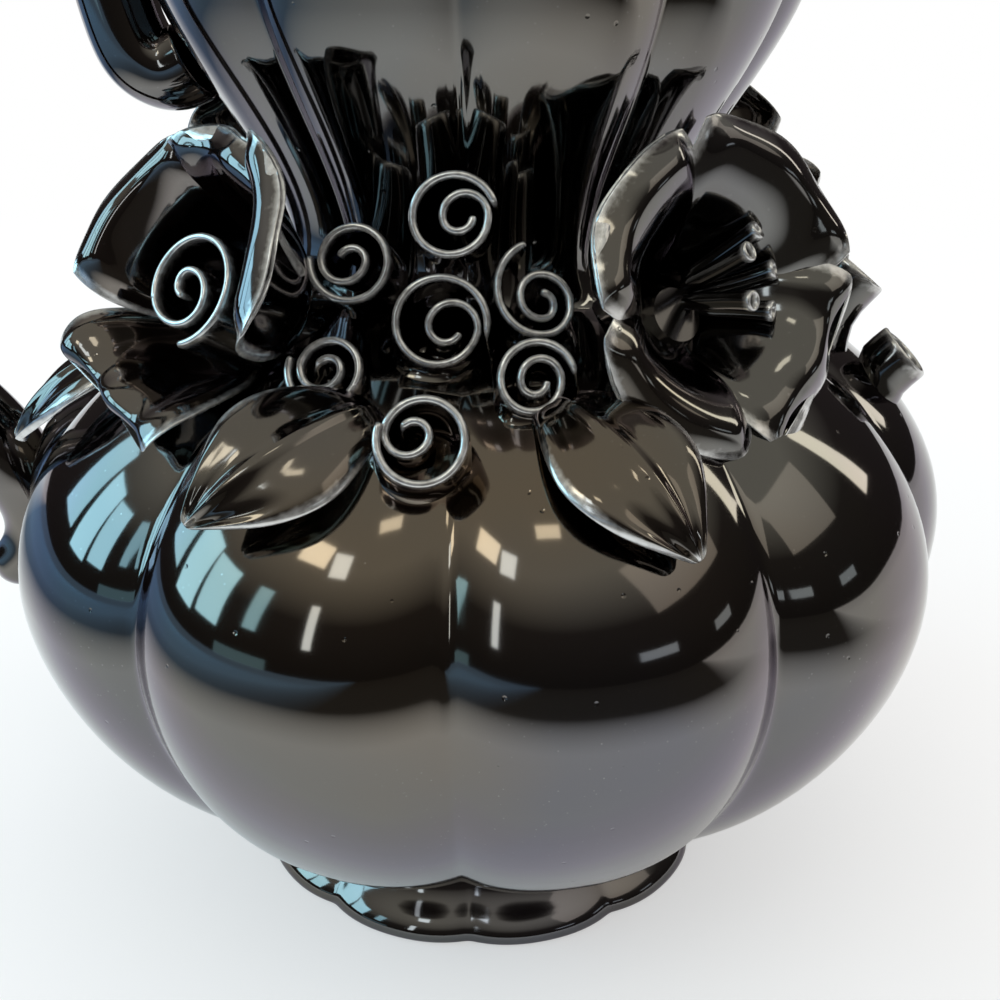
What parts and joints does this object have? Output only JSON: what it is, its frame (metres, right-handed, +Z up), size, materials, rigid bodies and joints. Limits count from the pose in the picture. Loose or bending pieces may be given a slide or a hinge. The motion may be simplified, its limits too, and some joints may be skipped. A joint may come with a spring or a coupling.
{
  "type": "oinochoe jug",
  "caption": "Round-bellied ceramic pouring jug with a lobed body, flared neck, looped handle and a garland of flowers, leaves and curls.",
  "frame": {"origin": "centre of the foot ring's flat underside, on the table", "axes": "+Z up along the jug's axis, +X the way the lip pours, -X towards the handle"},
  "size_m": [0.2375, 0.1756, 0.2333],
  "materials": {
    "glaze_body": "gloss metallic black lustre",
    "glaze_on_relief": "gloss metallic black lustre, worn pale on thin edges"
  },
  "bodies": {
    "root": {"belly": "glaze_body", "foot": "glaze_body", "front_bud_heart": "glaze_on_relief", "front_bud_pad": "glaze_on_relief", "front_bud_petal_back": "glaze_on_relief", "front_bud_petal_left": "glaze_on_relief", "front_bud_petal_lip": "glaze_on_relief", "front_bud_petal_right": "glaze_on_relief", "front_curl_bottom": "glaze_on_relief", "front_curl_centre": "glaze_on_relief", "front_curl_lower_left": "glaze_on_relief", "front_curl_lower_right": "glaze_on_relief", "front_curl_top": "glaze_on_relief", "front_curl_upper_left": "glaze_on_relief", "front_curl_upper_right": "glaze_on_relief", "front_leaf_left": "glaze_on_relief", "front_leaf_right": "glaze_on_relief", "front_rose_pad": "glaze_on_relief", "front_rose_petal_lower_left": "glaze_on_relief", "front_rose_petal_lower_right": "glaze_on_relief", "front_rose_petal_under": "glaze_on_relief", "front_rose_petal_upper_left": "glaze_on_relief", "front_rose_petal_upper_right": "glaze_on_relief", "front_rose_stamens": "glaze_on_relief", "handle": "glaze_body", "handle_curl_upper": "glaze_on_relief", "handle_leaf_front": "glaze_on_relief", "handle_leaf_rear": "glaze_on_relief", "neck": "glaze_body", "rear_bud_heart": "glaze_on_relief", "rear_bud_pad": "glaze_on_relief", "rear_bud_petal_back": "glaze_on_relief", "rear_bud_petal_left": "glaze_on_relief", "rear_bud_petal_lip": "glaze_on_relief", "rear_bud_petal_right": "glaze_on_relief", "rear_curl_bottom": "glaze_on_relief", "rear_curl_centre": "glaze_on_relief", "rear_curl_lower_left": "glaze_on_relief", "rear_curl_lower_right": "glaze_on_relief", "rear_curl_top": "glaze_on_relief", "rear_curl_upper_left": "glaze_on_relief", "rear_curl_upper_right": "glaze_on_relief", "rear_leaf_left": "glaze_on_relief", "rear_leaf_right": "glaze_on_relief", "rear_rose_pad": "glaze_on_relief", "rear_rose_petal_lower_left": "glaze_on_relief", "rear_rose_petal_lower_right": "glaze_on_relief", "rear_rose_petal_under": "glaze_on_relief", "rear_rose_petal_upper_left": "glaze_on_relief", "rear_rose_petal_upper_right": "glaze_on_relief", "rear_rose_stamens": "glaze_on_relief", "spout_curl_lower": "glaze_on_relief", "spout_curl_side": "glaze_on_relief", "spout_curl_upper": "glaze_on_relief"}
  },
  "joints": []
}
